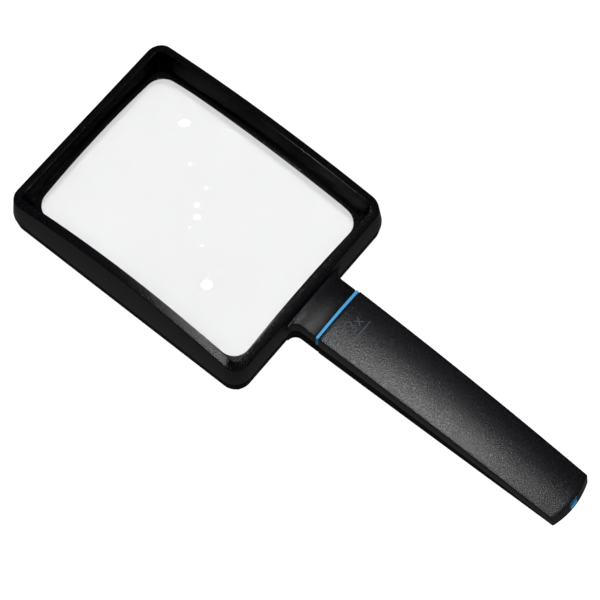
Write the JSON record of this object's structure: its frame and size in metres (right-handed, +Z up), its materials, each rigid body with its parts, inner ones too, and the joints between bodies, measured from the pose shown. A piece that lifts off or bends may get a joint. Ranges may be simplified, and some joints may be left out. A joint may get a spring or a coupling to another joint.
{
  "type": "magnifying glass",
  "caption": "Rectangular hand-held reading magnifier: domed clear lens in a deep black frame, with a flat tapering handle and light blue accents.",
  "frame": {"origin": "middle of the bounding box's bottom face, on the surface the magnifier lies on", "axes": "+X along the handle towards its tail, +Y across the head, +Z up out of the lens well"},
  "size_m": [0.2378, 0.091, 0.0261],
  "materials": {
    "lens_acrylic": "polished clear acrylic",
    "seal_black": "smooth black",
    "frame_upper": "grained rim, smooth satin walls",
    "frame_lower": "smooth satin",
    "accent_blue": "satin light blue",
    "handle_upper": "fine grained top, smooth sides",
    "handle_lower": "smooth satin",
    "tang_steel": "plain strip",
    "screw_steel": "dark zinc"
  },
  "bodies": {
    "root": {"lens": "lens_acrylic", "lens_seal": "seal_black", "upper_frame": "frame_upper", "lower_frame": "frame_lower", "handle_core": "accent_blue", "handle_upper_shell": "handle_upper", "handle_lower_shell": "handle_lower", "neck_tang": "tang_steel", "frame_screw_1": "screw_steel", "frame_screw_2": "screw_steel", "frame_screw_3": "screw_steel", "frame_screw_4": "screw_steel", "neck_screw": "screw_steel", "handle_screw_1": "screw_steel", "handle_screw_2": "screw_steel"}
  },
  "joints": []
}
